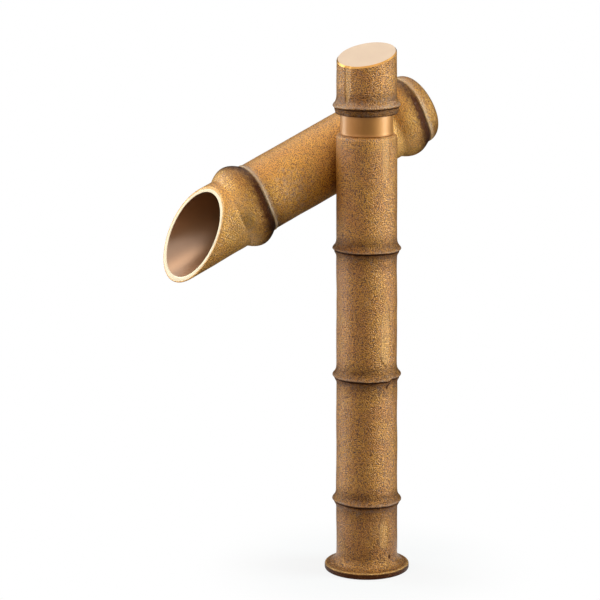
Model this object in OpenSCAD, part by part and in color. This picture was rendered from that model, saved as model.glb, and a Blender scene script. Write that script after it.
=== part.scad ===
// Bamboo garden faucet: a quarter-turn pillar tap, cast in bronze as bamboo stems.
// The origin is the centre of the foot's underside, level with the deck.
// +Z is up, the spout pours towards -Y, and sizes are in millimetres.
// The tap is drawn closed: the handle opens it by a quarter turn about +Z.

/* [Pillar] */
// Diameter of the pillar's stem at its top
pillar_d = 36; // [34:0.5:42]
// How much wider the stem's radius is at its lowest node
stem_taper = 0.4; // [0:0.1:1]
// Height of the pillar's top face above the deck
pillar_h = 266.4; // [250:0.1:300]
// Thickness of the pillar's cast wall round its waterway
pillar_wall = 4; // [3:0.1:5]
// Radius of the shoulder round the pillar's top face
shoulder_r = 2.4; // [1:0.1:2.4]

/* [Pillar nodes] */
// Height of the lowest node's crest
node_first_z = 43.8; // [30:0.1:50]
// Distance from one node's crest to the next
node_pitch = 77.1; // [60:0.1:80]
// How far a node stands out of the stem
node_rise = 2.4; // [1:0.1:3.5]
// Length of a node's swelling above its crest
node_upper = 5; // [3:0.1:8]
// Length of a node's flank below its crest
node_lower = 5.2; // [4:0.1:8]
// Depth of the sheath crease under a node's crest
crease_depth = 0.7; // [0.3:0.1:1]

/* [Foot] */
// Diameter of the foot's round flange
foot_d = 51; // [47:0.5:60]
// Thickness of the flange's rim
foot_rim_t = 4; // [2.5:0.1:5]
// Radius of the rounded edges of the rim
foot_edge_r = 1.2; // [0.5:0.1:1.2]
// Radius of the hollow flare from the flange up to the stem
foot_flare_r = 7; // [4:0.1:10]
// Thickness of the rubber ring let into the foot
base_gasket_t = 2; // [1:0.1:2.5]
// Width of the rubber ring let into the foot
base_gasket_w = 4.8; // [3:0.1:5]
// Inner diameter of the rubber ring let into the foot
base_gasket_id = 30.2; // [28:0.1:31]

/* [Spout] */
// Outer diameter of the spout's tube between its nodes
spout_d = 42.6; // [38:0.1:46]
// Wall thickness of the spout's tube
spout_wall = 2.3; // [1.8:0.1:3]
// Slope of the spout below the horizontal, in degrees
spout_tilt = 23.5; // [15:0.1:30]
// How far the spout's axis passes below the pillar's top
spout_drop = 14.9; // [14:0.1:20]
// How deep the spout's tube is saddled over the pillar
saddle_depth = 6.2; // [4:0.1:6.8]
// Distance along the spout from the pillar to the mouth's centre
mouth_s = 106.4; // [95:0.1:130]
// Angle of the slanted mouth to a square cut, in degrees
mouth_cut = 45.4; // [30:0.1:50]
// Turn of the slanted cut about the tube, from straight above
mouth_turn = 21.3; // [0:0.1:30]
// How much the tube's radius grows from the front node to the mouth
mouth_flare = 0.5; // [0:0.1:1]
// Distance along the spout from the pillar back to the rear end
rear_s = 60.3; // [58:0.1:70]
// Radius of the rounded corner of the closed rear end
rear_corner_r = 8.2; // [4:0.1:8.2]
// Thickness of the closed rear end
rear_wall = 3; // [2:0.1:5]

/* [Spout nodes] */
// Distance from the pillar to the front node's groove
front_groove_s = 61.8; // [50:0.1:70]
// Distance from the pillar back to the rear node's groove
rear_groove_s = 50.9; // [48:0.1:52]
// Length of a spout node's swelling, from its groove towards the mouth
spout_node_len = 18.2; // [14:0.1:22]
// How far the front node stands out of the tube
spout_node_rise = 4.2; // [2:0.1:5]
// How far the rear node stands out of the tube
rear_node_rise = 3.5; // [2:0.1:5]
// Width of the raised bead behind a spout node's groove
bead_w = 1.8; // [1:0.1:2.5]
// Height of that bead
bead_h = 0.45; // [0.2:0.05:0.8]

/* [Handle] */
// Diameter of the handle's stem
handle_d = 35.4; // [33:0.1:40]
// Height from the handle's lower edge to the middle of its slanted top
handle_h = 34.4; // [32:0.1:45]
// Slope of the slanted top, in degrees
handle_slope = 16.7; // [5:0.1:20]
// Direction of the slanted top's high side, from +X, when the tap is closed
handle_high_dir = 121; // [0:1:360]
// Height of the handle's node above its lower edge
handle_node_z = 4.8; // [3:0.1:8]
// How far the handle's node stands out
handle_node_rise = 2.3; // [1:0.1:3]
// How far the handle's lower edge stands out
handle_foot_rise = 0.5; // [0:0.1:1]
// Depth of the hollow inside the handle, from its lower edge
handle_hollow_h = 23.8; // [22:0.1:24]
// Thickness of the handle's wall round the hollow
handle_wall = 3.4; // [2.5:0.1:4]
// Outer diameter of the boss inside the handle
handle_boss_d = 18.4; // [17:0.1:20]

/* [Neck ring] */
// Outer diameter of the polished neck ring
ring_d = 31; // [29.5:0.1:31.6]
// Wall thickness of the neck ring
ring_wall = 1.3; // [1:0.1:1.5]
// Height of the neck ring that shows below the handle
ring_show = 12.2; // [10.5:0.1:20]
// Height of the neck ring hidden inside the handle
ring_hidden = 4.5; // [2:0.1:4.5]

/* [Headpart] */
// Major diameter of the headpart's and the tail's G1/2 thread
thread_d = 20.955; // [20.955:0.001:20.955]
// Length of the headpart's thread
head_thread_len = 12; // [9:0.1:13]
// Depth of the valve seat below the pillar's top
seat_depth = 37.4; // [36:0.1:42]
// Thickness of the wall that holds the valve seat
seat_wall = 4; // [3:0.1:6]
// Diameter of the water hole in the valve seat
seat_hole_d = 9.6; // [8:0.1:10]
// Diameter of the chamber round the headpart
chamber_d = 20; // [19.4:0.1:20.4]
// Outer diameter of the headpart's barrel
barrel_d = 17.8; // [17.4:0.1:18]
// Wall thickness of the headpart's barrel
barrel_wall = 1.4; // [1.2:0.1:1.6]
// Thickness of the sealing ring under the headpart's collar
head_gasket_t = 1.5; // [1:0.1:2]
// Thickness of the headpart's round collar
head_collar_t = 2.5; // [2:0.1:4]
// Height of the headpart's hexagon
head_hex_h = 5; // [4:0.1:6]
// Diameter of the gland above the hexagon
gland_d = 16; // [15.6:0.1:17]
// Height of the gland above the hexagon
gland_h = 5; // [4.6:0.1:5]
// Width of each side window of the barrel
window_w = 9; // [7:0.1:10]
// Diameter of the water port from the chamber into the spout
port_d = 10; // [8:0.1:11]
// Depth of the water port's axis below the pillar's top
port_drop = 19.4; // [18:0.1:21]

/* [Valve discs and seals] */
// Thickness of each ceramic disc
disc_t = 3; // [2.5:0.1:3.2]
// Half the angle of each disc window, in degrees
disc_window_half = 38; // [30:1:40]
// Height of the rubber seat seal
seal_h = 4; // [3.5:0.1:4.5]
// How far the seat seal stands out of the barrel
seal_proud = 1.5; // [1:0.1:2]
// Wall thickness of the rubber seat seal
seal_wall = 2; // [1.5:0.1:2.4]

/* [Spindle] */
// Diameter of the spindle in the gland
spindle_d = 9; // [8.6:0.1:9.4]
// Thickness of the spindle's thrust collar
thrust_t = 2; // [1.5:0.1:3]
// Thickness of the washer over the thrust collar
thrust_washer_t = 0.6; // [0.4:0.1:1]
// Thickness of the drive blade in the moving disc
blade_t = 4; // [3:0.1:4.4]
// Section diameter of the spindle's O-rings
oring_t = 1.7; // [1.5:0.1:1.9]
// Thickness of the spindle's circlip
circlip_t = 0.9; // [0.7:0.1:1]
// Number of teeth of the spindle's spline
spline_n = 20; // [16:1:24]
// Outer diameter of the spline
spline_d = 8; // [7.6:0.1:8.2]
// Length of the spline
spline_len = 13.8; // [12:0.1:14]
// Angle that the stop lets the spindle turn, in degrees
turn_range = 90; // [80:1:100]
// Width of the stop lug, in degrees
lug_angle = 28; // [20:1:40]

/* [Handle fixing] */
// Outer diameter of the brass insert in the handle
insert_d = 14; // [13:0.1:14.6]
// Diameter of the set screw that holds the handle
screw_d = 5; // [4:0.5:5]
// Length of the set screw
screw_len = 10; // [9:0.1:10.5]
// Height of the set screw above the pillar's top
screw_z = 24.6; // [23.5:0.1:25.5]

/* [Deck fixing] */
// Length of the threaded tail below the deck
tail_len = 47; // [42:0.5:70]
// Bore of the threaded tail
tail_bore_d = 14; // [12:0.1:15]
// Depth of the tail's socket in the foot
socket_depth = 16; // [12:0.1:20]
// Thickness of the sealing washer at the socket's end
tail_seal_t = 1.5; // [1:0.1:2]
// Thickness of the deck that the washers are drawn against
deck_t = 20; // [5:0.5:22]
// Outer diameter of the rubber washer
rubber_washer_d = 38; // [34:0.5:45]
// Thickness of the rubber washer
rubber_washer_t = 3; // [2:0.1:4]
// Outer diameter of the metal washer
metal_washer_d = 36; // [32:0.5:42]
// Thickness of the metal washer
metal_washer_t = 2; // [1.5:0.1:2.5]
// Width across the flats of the lock nut
nut_af = 30; // [27:0.5:36]
// Thickness of the lock nut
nut_t = 8; // [6:0.1:8.5]
// Width of the groove between the nut's thread and the supply thread
tail_groove_w = 2; // [1.5:0.1:3]
// Length of the free supply thread at the tail's lower end
supply_thread_len = 10.5; // [9:0.1:12]

/* [Fits] */
// Radial gap of a drawn thread, which stands for its flanks
thread_gap = 0.08; // [0.05:0.01:0.12]
// Radial gap between a fixed piece and its seat
seat_gap = 0.1; // [0.05:0.01:0.2]
// Radial running gap of the spindle and the discs
run_gap = 0.05; // [0.03:0.01:0.08]
// Clear gap between the turning handle and what it passes
clear_gap = 0.5; // [0.4:0.1:0.8]

/* [Hidden] */
$fn = 96;
lap = 1;                                  // overshoot of a cut past the face it opens, or of a joint
node_count = 3;
node_steps = 8;                           // straight steps in one side of a swelling
arc_steps = 6;                            // straight steps in a quarter round

pillar_r = pillar_d / 2;
pillar_node_z = [for (i = [0:node_count - 1]) node_first_z + i * node_pitch];
stem_node_r = [for (i = [0:node_count - 1]) pillar_r + stem_taper * pow(1 - i / (node_count - 1), 1.3)];

// waterway inside the pillar, from the tail's socket up to the headpart
thread_r = thread_d / 2;
socket_r = thread_r + thread_gap;
passage_r = tail_bore_d / 2;
passage_h = 2;
cavity_r = pillar_r - pillar_wall;
cavity_z = socket_depth + passage_h;
seat_z = pillar_h - seat_depth;
seat_r = seat_hole_d / 2;
cavity_top = seat_z - seat_wall;
chamber_r = chamber_d / 2;
head_thread_z = pillar_h - head_thread_len;
port_z = pillar_h - port_drop;

// spout placement: its axis crosses the plane y = 0 here, beside the pillar
spout_r = spout_d / 2;
spout_bore_r = spout_r - spout_wall;
mouth_r = spout_r + mouth_flare;
mouth_flare_len = 25;                     // over this length in front of the front node
rear_r = spout_r + bead_h;                // the rear end starts as wide as the rear bead
rear_bore_corner_r = rear_corner_r - rear_wall;
spout_x = -(pillar_r + spout_r - saddle_depth);
spout_z = pillar_h - spout_drop;

// neck ring and headpart, stacked on the pillar's top face
ring_r = ring_d / 2;
ring_bore_r = ring_r - ring_wall;
collar_gap = 0.6;                         // from the headpart's collar to the neck ring
collar_r = ring_bore_r - collar_gap;
hex_r = collar_r - 0.3;                   // to the hexagon's corners
lip_r = (collar_r + thread_r) / 2 + 0.3;  // bore of the neck ring's inner lip
collar_z = pillar_h + head_gasket_t;
hex_z = collar_z + head_collar_t;
gland_z = hex_z + head_hex_h;
gland_top = gland_z + gland_h;
gland_r = gland_d / 2;
stop_wall_h = 3.2;                        // wall on the gland that stops the lug
stop_inset = 0.1;                         // from the gland's edge in to that wall
stop_bore_r = gland_r - 1.6;

// barrel of the headpart and what is stacked in it, from the seat up
barrel_r = barrel_d / 2;
barrel_bore_r = barrel_r - barrel_wall;
barrel_z = seat_z + seal_proud;
fixed_disc_z = seat_z + seal_h;
moving_disc_z = fixed_disc_z + disc_t + run_gap;
disc_r = barrel_bore_r - run_gap;
disc_key_w = 2.4;                         // keys that stop the fixed disc turning
disc_key_out = 0.8;
blade_sink = 1.5;                         // depth of the drive blade in the moving disc
blade_gap = 0.05;
blade_w = 2 * disc_r - 1.6;
disc_window_in = 3.3;
disc_window_out = disc_r - 1;
disc_top = moving_disc_z + disc_t;
guide_z = head_thread_z - 2;              // shoulder in the barrel over the thrust collar
window_z = disc_top + 0.5;
window_h = guide_z - window_z - 1.2;
spindle_r = spindle_d / 2;
guide_bore_r = spindle_r + run_gap;
thrust_z = guide_z - thrust_washer_t - thrust_t;

// spindle above the gland
oring_r = oring_t / 2;
oring_z = [head_thread_z + head_thread_len / 2, hex_z + 0.5];
oring_groove_w = oring_t + 0.4;
oring_floor_r = spindle_r - oring_t;
circlip_z = gland_top + 0.3;
circlip_floor_r = spindle_r - 0.8;
circlip_r = stop_bore_r - 0.3;
lug_z = circlip_z + circlip_t + 0.5;
lug_h = gland_top + stop_wall_h - lug_z;
lug_r = gland_r - 0.2;
stop_play = 1;                            // free turn past each limit, in degrees
spline_z = lug_z + lug_h;
spline_r = spline_d / 2;
spline_cut = 0.5;
spline_top = spline_z + spline_len;

// handle, from its lower edge up
handle_r = handle_d / 2;
handle_z = pillar_h + ring_show;
handle_node_upper = 5.4;
skirt_r = ring_r + clear_gap;
skirt_z = handle_z + ring_hidden + clear_gap;
hollow_top = handle_z + handle_hollow_h;
hollow_r = handle_r - handle_wall;
boss_r = handle_boss_d / 2;
boss_z = gland_top + stop_wall_h + clear_gap;
insert_r = insert_d / 2;
insert_z = boss_z + 0.3;
insert_top = spline_top + 0.5;
screw_r = screw_d / 2;
screw_at = pillar_h + screw_z;
screw_tip_r = 1.6;
screw_tip_len = 2.2;
screw_groove_r = 3.2;
screw_groove_w = 4;
screw_web_r = screw_r + 2.6;
screw_from = screw_groove_r + 0.1;
screw_socket_af = 2.5;
screw_socket_h = 3;

// deck fixing, from the deck's underside down
tail_top = socket_depth - tail_seal_t;
rubber_z = -deck_t - rubber_washer_t;
metal_z = rubber_z - metal_washer_t;
nut_z = metal_z - nut_t;
tail_chamfer = 1;
supply_z = -tail_len + tail_chamfer;
supply_top = supply_z + supply_thread_len;
tail_groove_r = thread_r - 1.3;

// Points of an arc about [x, y], from angle a0 to angle a1
function arc(x, y, r, a0, a1, n = arc_steps) =
    [for (i = [0:n]) let (a = a0 + (a1 - a0) * i / n) [x + r * cos(a), y + r * sin(a)]];

// S-shaped rise from 0 to 1
function ease(t) = (1 - cos(180 * t)) / 2;

// Outline of a bamboo node on a stem of radius r, from its lower flank to its upper one:
// a straight lower flank, the crease that the sheath leaves, the crest, an S-shaped flank
function stem_node(r, z, rise, lower, upper) = concat(
    [[r, z - lower],
     [r + rise * 0.62, z - 1.9],
     [r + rise * 0.8 - crease_depth, z - 1.4],
     [r + rise * 0.86, z - 0.9],
     [r + rise * 0.98, z - 0.4]],
    [for (i = [0:node_steps]) let (t = i / node_steps) [r + rise * (1 - ease(t)), z + upper * t]]
);

// Outline of the rear side of the bead behind a groove at s, on a tube of radius r
function bead_rear(r, s) = [[r, s - bead_w], [r + bead_h, s - bead_w * 0.7]];

// Outline of a spout node of radius r: the bead's front, the groove at s, and a full round
// swelling that runs on from the groove by len
function tube_node(r, s, rise, len) = concat(
    [[r + bead_h, s - bead_w * 0.4],
     [r - bead_h / 2, s]],
    [for (i = [1:2 * node_steps]) let (t = i / (2 * node_steps)) [r + rise * pow(sin(180 * t), 0.9), s + len * t]]
);

// Solid turned about Z from an outline of [radius, height] points
module turned(outline) {
    rotate_extrude() polygon(outline);
}

// Ring with a square section, standing on z
module ring(r_out, r_in, z, h) {
    turned([[r_in, z], [r_out, z], [r_out, z + h], [r_in, z + h]]);
}

// Wedge-shaped plate between two radii and two angles, for windows and stops
module sector(r_in, r_out, a0, a1, z, h) {
    translate([0, 0, z])
        linear_extrude(height = h)
            polygon(concat(arc(0, 0, r_in, a0, a1, 16), arc(0, 0, r_out, a1, a0, 16)));
}

// Moves a piece drawn along Z onto the spout's axis: Z runs towards the mouth, Y upwards
module on_spout() {
    translate([spout_x, 0, spout_z])
        rotate([90 + spout_tilt, 0, 0])
            children();
}

// Outer surface of foot, stem and nodes
function pillar_outline() = let (base_r = stem_node_r[0], flare_r = min(foot_flare_r, foot_d / 2 - foot_edge_r - base_r + 0.7)) concat(
    [[0, 0]],
    arc(foot_d / 2 - foot_edge_r, foot_edge_r, foot_edge_r, -90, 0),
    arc(foot_d / 2 - foot_edge_r, foot_rim_t - foot_edge_r, foot_edge_r, 0, 90),
    arc(base_r + flare_r, foot_rim_t + flare_r, flare_r, 264, 180, 2 * arc_steps),
    [for (i = [0:node_count - 1]) each stem_node(stem_node_r[i], pillar_node_z[i], node_rise, node_lower, node_upper)],
    arc(pillar_r - shoulder_r, pillar_h - shoulder_r, shoulder_r, 0, 90),
    [[0, pillar_h]]
);

// Pillar casting: bamboo stem with its foot, waterway, valve seat and headpart socket
module pillar() {
    color("#9a6f35")
    difference() {
        turned(pillar_outline());
        // waterway from the tail's socket to the headpart's thread
        turned([
            [0, -lap], [socket_r, -lap], [socket_r, socket_depth], [passage_r, socket_depth],
            [passage_r, cavity_z], [cavity_r, cavity_z + cavity_r - passage_r],
            [cavity_r, cavity_top - cavity_r + seat_r], [seat_r, cavity_top], [seat_r, seat_z],
            [chamber_r, seat_z], [chamber_r, head_thread_z], [socket_r, head_thread_z],
            [socket_r, pillar_h + lap], [0, pillar_h + lap]
        ]);
        // groove for the rubber ring under the foot
        ring(base_gasket_id / 2 + base_gasket_w + seat_gap, base_gasket_id / 2 - seat_gap,
            -lap, base_gasket_t + lap);
        // port into the spout
        translate([0, 0, port_z])
            rotate([0, -90, 0])
                cylinder(d = port_d, h = pillar_r + lap);
    }
}

// Outer surface of the spout: rounded rear end, rear node, front node, tube widening to the mouth
function spout_outline() = let (node_end = front_groove_s + spout_node_len, far = mouth_s + 2 * spout_r) concat(
    [[0, -rear_s]],
    arc(rear_r - rear_corner_r, rear_corner_r - rear_s, rear_corner_r, -90, 0),
    tube_node(spout_r, -rear_groove_s, rear_node_rise, spout_node_len),
    bead_rear(spout_r, front_groove_s),
    tube_node(spout_r, front_groove_s, spout_node_rise, spout_node_len),
    [[mouth_r, node_end + mouth_flare_len], [mouth_r, far], [0, far]]
);

// Spout casting: a larger stem saddled on the pillar's side, closed at the rear
module spout() {
    color("#a97a3c")
    difference() {
        on_spout()
            difference() {
                turned(spout_outline());
                // bore, with a rounded rear end, open at the mouth
                turned(concat(
                    [[0, rear_wall - rear_s]],
                    arc(spout_bore_r - rear_bore_corner_r, rear_wall - rear_s + rear_bore_corner_r, rear_bore_corner_r, -90, 0),
                    [[spout_bore_r, mouth_s + 3 * spout_r], [0, mouth_s + 3 * spout_r]]
                ));
                // slanted mouth
                translate([0, 0, mouth_s])
                    rotate([0, mouth_cut, 90 - mouth_turn])
                        translate([-3 * spout_r, -3 * spout_r, 0])
                            cube([6 * spout_r, 6 * spout_r, 4 * spout_r]);
            }
        // saddle that fits the pillar's side
        translate([0, 0, spout_z - spout_d])
            cylinder(r = pillar_r, h = 2 * spout_d);
    }
}

// Polished neck ring: a sleeve over the hexagon, held by the lip under the headpart's collar
module neck_ring() {
    color("#d9b36a")
    turned([
        [lip_r, pillar_h], [ring_r + 0.2, pillar_h], [ring_r + 0.2, pillar_h + 0.6], [ring_r, pillar_h + 1],
        [ring_r, handle_z + ring_hidden], [ring_bore_r, handle_z + ring_hidden],
        [ring_bore_r, collar_z], [lip_r, collar_z]
    ]);
}

// Quarter-turn headpart: barrel, thread, collar, hexagon and gland, with the stop wall on top
module headpart_body() {
    color("#c9a24b")
    difference() {
        union() {
            turned([
                [0, barrel_z], [barrel_r, barrel_z], [barrel_r, head_thread_z + 1],
                [thread_r, head_thread_z + 2], [thread_r, collar_z], [collar_r, collar_z],
                [collar_r, hex_z], [0, hex_z]
            ]);
            translate([0, 0, hex_z - lap])
                cylinder(r = hex_r, h = head_hex_h + lap, $fn = 6);
            turned([[0, hex_z - lap], [gland_r, hex_z - lap], [gland_r, gland_top], [0, gland_top]]);
            sector(stop_bore_r, gland_r - stop_inset, lug_angle / 2 + turn_range + stop_play,
                360 - lug_angle / 2 - stop_play, gland_top - lap, stop_wall_h + lap);
        }
        // barrel bore and the spindle's guide bore
        turned([
            [0, barrel_z - lap], [barrel_bore_r, barrel_z - lap], [barrel_bore_r, guide_z],
            [guide_bore_r, guide_z], [guide_bore_r, gland_top + lap], [0, gland_top + lap]
        ]);
        // side windows
        translate([-2 * barrel_r, -window_w / 2, window_z])
            cube([4 * barrel_r, window_w, window_h]);
        // slots for the fixed disc's keys
        translate([-disc_key_w / 2 - run_gap, -2 * barrel_r, barrel_z - lap])
            cube([disc_key_w + 2 * run_gap, 4 * barrel_r, fixed_disc_z + disc_t + 0.2 - barrel_z + lap]);
    }
}

// Fibre sealing ring between the pillar's top face and the headpart's collar
module headpart_gasket() {
    color("#7a3b2a")
    ring(lip_r - seat_gap, thread_r + thread_gap + 0.12, pillar_h, head_gasket_t);
}

// Rubber seal that presses the fixed disc up and seals on the valve seat
module seat_seal() {
    color("#2b2b2b")
    ring(barrel_bore_r - seat_gap, barrel_bore_r - seal_wall, seat_z, seal_h);
}

// Ceramic disc with two windows, keyed in the barrel
module fixed_disc() {
    color("#efeee8")
    difference() {
        union() {
            translate([0, 0, fixed_disc_z])
                cylinder(r = disc_r, h = disc_t);
            intersection() {
                translate([-disc_key_w / 2, -disc_r - disc_key_out, fixed_disc_z])
                    cube([disc_key_w, 2 * (disc_r + disc_key_out), disc_t]);
                translate([0, 0, fixed_disc_z])
                    cylinder(r = disc_r + disc_key_out, h = disc_t);
            }
        }
        disc_windows(0, fixed_disc_z);
    }
}

// Ceramic disc with two windows, turned by the spindle; its windows lie crossed when closed
module moving_disc() {
    color("#e4e2da")
    difference() {
        translate([0, 0, moving_disc_z])
            cylinder(r = disc_r, h = disc_t);
        disc_windows(-90, moving_disc_z);
        // slot for the spindle's blade
        rotate([0, 0, -90])
            translate([-blade_t / 2 - blade_gap, -blade_w / 2 - blade_gap, disc_top - blade_sink])
                cube([blade_t + 2 * blade_gap, blade_w + 2 * blade_gap, blade_sink + lap]);
    }
}

// Two opposite windows through a disc, centred on the direction dir
module disc_windows(dir, z) {
    for (side = [0, 180])
        sector(disc_window_in, disc_window_out, dir + side - disc_window_half,
            dir + side + disc_window_half, z - lap, disc_t + 2 * lap);
}

// Low-friction washer between the spindle's thrust collar and the barrel's shoulder
module thrust_washer() {
    color("#f4f4f0")
    ring(barrel_bore_r - seat_gap, spindle_r + seat_gap, guide_z - thrust_washer_t, thrust_washer_t);
}

// Spindle: drive blade, thrust collar, two O-ring grooves, circlip groove, stop lug and spline
module spindle() {
    color("#b98f45")
    difference() {
        union() {
            intersection() {
                rotate([0, 0, -90])
                    translate([-blade_t / 2, -blade_w / 2, disc_top - blade_sink])
                        cube([blade_t, blade_w, blade_sink + 2]);
                cylinder(r = disc_r - 0.6, h = 2 * pillar_h);
            }
            turned([
                [0, disc_top + 1], [spindle_r, disc_top + 1], [spindle_r, thrust_z],
                [barrel_bore_r - seat_gap, thrust_z], [barrel_bore_r - seat_gap, thrust_z + thrust_t],
                [spindle_r, thrust_z + thrust_t],
                for (z = oring_z) each o_ring_groove(z),
                [spindle_r, circlip_z], [circlip_floor_r, circlip_z],
                [circlip_floor_r, circlip_z + circlip_t], [spindle_r, circlip_z + circlip_t],
                [spindle_r, spline_z], [0, spline_z]
            ]);
            sector(2, lug_r, -lug_angle / 2, lug_angle / 2, lug_z, lug_h);
            spline_bar(spline_r, spline_z - 0.2, spline_len + 0.2);
        }
        // groove for the set screw's tip
        ring(spline_r + lap, screw_groove_r, screw_at - screw_groove_w / 2, screw_groove_w);
    }
}

// Outline points of one O-ring groove in the spindle
function o_ring_groove(z) = [
    [spindle_r, z - oring_groove_w / 2], [oring_floor_r, z - oring_groove_w / 2],
    [oring_floor_r, z + oring_groove_w / 2], [spindle_r, z + oring_groove_w / 2]
];

// Bar with straight spline teeth, r to the teeth's tips
module spline_bar(r, z, h) {
    translate([0, 0, z])
        linear_extrude(height = h)
            polygon([for (i = [0:2 * spline_n - 1])
                let (a = i * 180 / spline_n, q = i % 2 == 0 ? r : r - spline_cut) [q * cos(a), q * sin(a)]]);
}

// Two rubber O-rings in the spindle's grooves
module spindle_o_rings() {
    color("#242424")
    for (z = oring_z)
        translate([0, 0, z])
            rotate_extrude()
                translate([oring_floor_r + oring_r, 0])
                    circle(r = oring_r, $fn = 32);
}

// Circlip that keeps the spindle from dropping into the barrel
module spindle_circlip() {
    color("#8c8c88")
    difference() {
        ring(circlip_r, circlip_floor_r, circlip_z, circlip_t);
        translate([-circlip_r - lap, -1.5, circlip_z - lap])
            cube([circlip_r, 3, circlip_t + 2 * lap]);
    }
}

// Handle casting: a short bamboo stem with a node at its foot, a slanted top and a hollow below
module handle() {
    color("#8f6a36")
    difference() {
        turned(concat(
            [[0, handle_z], [handle_r + handle_foot_rise - 0.3, handle_z],
             [handle_r + handle_foot_rise, handle_z + 0.3]],
            stem_node(handle_r, handle_z + handle_node_z, handle_node_rise,
                handle_node_z * 0.55, handle_node_upper),
            [[handle_r, handle_z + 2 * handle_h], [0, handle_z + 2 * handle_h]]
        ));
        // slanted top
        translate([0, 0, handle_z + handle_h])
            rotate([0, -handle_slope, handle_high_dir])
                translate([-2 * handle_d, -2 * handle_d, 0])
                    cube([4 * handle_d, 4 * handle_d, 2 * handle_h]);
        // skirt over the neck ring
        ring(skirt_r, 0, handle_z - lap, skirt_z - handle_z + lap);
        // hollow round the boss, left solid where the set screw passes
        difference() {
            union() {
                ring(hollow_r, boss_r, skirt_z - lap, hollow_top - skirt_z + lap);
                ring(boss_r + lap, 0, skirt_z - lap, boss_z - skirt_z + lap);
            }
            translate([0, 0, screw_at])
                rotate([-90, 0, 0])
                    cylinder(r = screw_web_r, h = handle_d);
        }
        // bore for the insert
        ring(insert_r + seat_gap / 2, 0, boss_z - lap, insert_top + 0.5 - boss_z + lap);
        // tapped hole for the set screw
        translate([0, 0, screw_at])
            rotate([-90, 0, 0])
                cylinder(r = screw_r + thread_gap, h = handle_d);
    }
}

// Brass insert pressed into the handle, with a splined bore and a hole for the set screw
module handle_insert() {
    color("#c8a252")
    difference() {
        ring(insert_r, 0, insert_z, insert_top - insert_z);
        spline_bar(spline_r + run_gap, insert_z - lap, insert_top - insert_z + 2 * lap);
        translate([0, 0, screw_at])
            rotate([-90, 0, 0])
                cylinder(r = screw_r + thread_gap, h = 2 * insert_r);
    }
}

// Set screw with a dog point in the spindle's groove and a hexagon socket behind
module handle_set_screw() {
    color("#5c5a55")
    translate([0, 0, screw_at])
        rotate([-90, 0, 0])
            difference() {
                turned([
                    [0, screw_from], [screw_tip_r, screw_from],
                    [screw_tip_r, screw_from + screw_tip_len],
                    [screw_r, screw_from + screw_tip_len + screw_r - screw_tip_r],
                    [screw_r, screw_from + screw_len], [0, screw_from + screw_len]
                ]);
                translate([0, 0, screw_from + screw_len - screw_socket_h])
                    cylinder(d = screw_socket_af / cos(30), h = screw_socket_h + lap, $fn = 6);
            }
}

// Threaded tail: clamps the pillar to the deck and takes the water supply at its lower end
module threaded_tail() {
    color("#bfa05a")
    turned([
        [passage_r, -tail_len], [thread_r - tail_chamfer, -tail_len], [thread_r, supply_z],
        [thread_r, supply_top], [tail_groove_r, supply_top],
        [tail_groove_r, supply_top + tail_groove_w], [thread_r, supply_top + tail_groove_w],
        [thread_r, tail_top - tail_chamfer], [thread_r - tail_chamfer, tail_top],
        [passage_r, tail_top]
    ]);
}

// Fibre washer between the tail's upper end and the shoulder in its socket
module tail_seal() {
    color("#7a3b2a")
    ring(socket_r - seat_gap, passage_r, tail_top, tail_seal_t);
}

// Rubber ring let into the foot, which seals on the deck
module base_gasket() {
    color("#2a2a2a")
    ring(base_gasket_id / 2 + base_gasket_w, base_gasket_id / 2, 0, base_gasket_t);
}

// Rubber washer under the deck
module rubber_washer() {
    color("#2f2f2f")
    ring(rubber_washer_d / 2, socket_r + seat_gap, rubber_z, rubber_washer_t);
}

// Metal washer under the rubber one
module metal_washer() {
    color("#c2bfb6")
    ring(metal_washer_d / 2, socket_r + seat_gap, metal_z, metal_washer_t);
}

// Hexagon lock nut on the tail, with chamfered corners
module lock_nut() {
    color("#c7a65c")
    difference() {
        intersection() {
            translate([0, 0, nut_z])
                cylinder(d = nut_af / cos(30), h = nut_t, $fn = 6);
            turned([
                [0, nut_z], [nut_af / 2, nut_z], [nut_af / 2 + 2.4, nut_z + 1.4],
                [nut_af / 2 + 2.4, nut_z + nut_t - 1.4], [nut_af / 2, nut_z + nut_t], [0, nut_z + nut_t]
            ]);
        }
        ring(socket_r, 0, nut_z - lap, nut_t + 2 * lap);
    }
}

pillar();
spout();
neck_ring();
headpart_body();
headpart_gasket();
seat_seal();
fixed_disc();
thrust_washer();
threaded_tail();
tail_seal();
base_gasket();
rubber_washer();
metal_washer();
lock_nut();
handle();
handle_insert();
handle_set_screw();
spindle();
spindle_o_rings();
spindle_circlip();
moving_disc();
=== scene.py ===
"""Looks of a bamboo garden faucet: a quarter-turn pillar tap, sand cast in bronze as bamboo stems.

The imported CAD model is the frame. Pillar, spout, handle, neck ring and threaded tail are laid here
as fine surfaces over the CAD's own sizes, with what a casting taken from real bamboo shows: sheath
rings, branch scars, the flat channel above a branch, hand-dressed unevenness and broken edges.
Lengths are millimetres in the row frame: +Z up the pillar, the spout pouring towards -Y.
"""

import math

import bmesh
import bpy
import numpy as np
from mathutils import Matrix, Vector


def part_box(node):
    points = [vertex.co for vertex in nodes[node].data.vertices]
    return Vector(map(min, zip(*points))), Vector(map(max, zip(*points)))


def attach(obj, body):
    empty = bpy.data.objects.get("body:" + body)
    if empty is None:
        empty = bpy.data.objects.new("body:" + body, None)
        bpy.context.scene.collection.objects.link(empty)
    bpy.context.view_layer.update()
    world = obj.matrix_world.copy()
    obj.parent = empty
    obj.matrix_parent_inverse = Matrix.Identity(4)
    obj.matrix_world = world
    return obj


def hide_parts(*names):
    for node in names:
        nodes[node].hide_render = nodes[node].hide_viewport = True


MM = 0.001
TAU = 2 * math.pi

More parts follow.
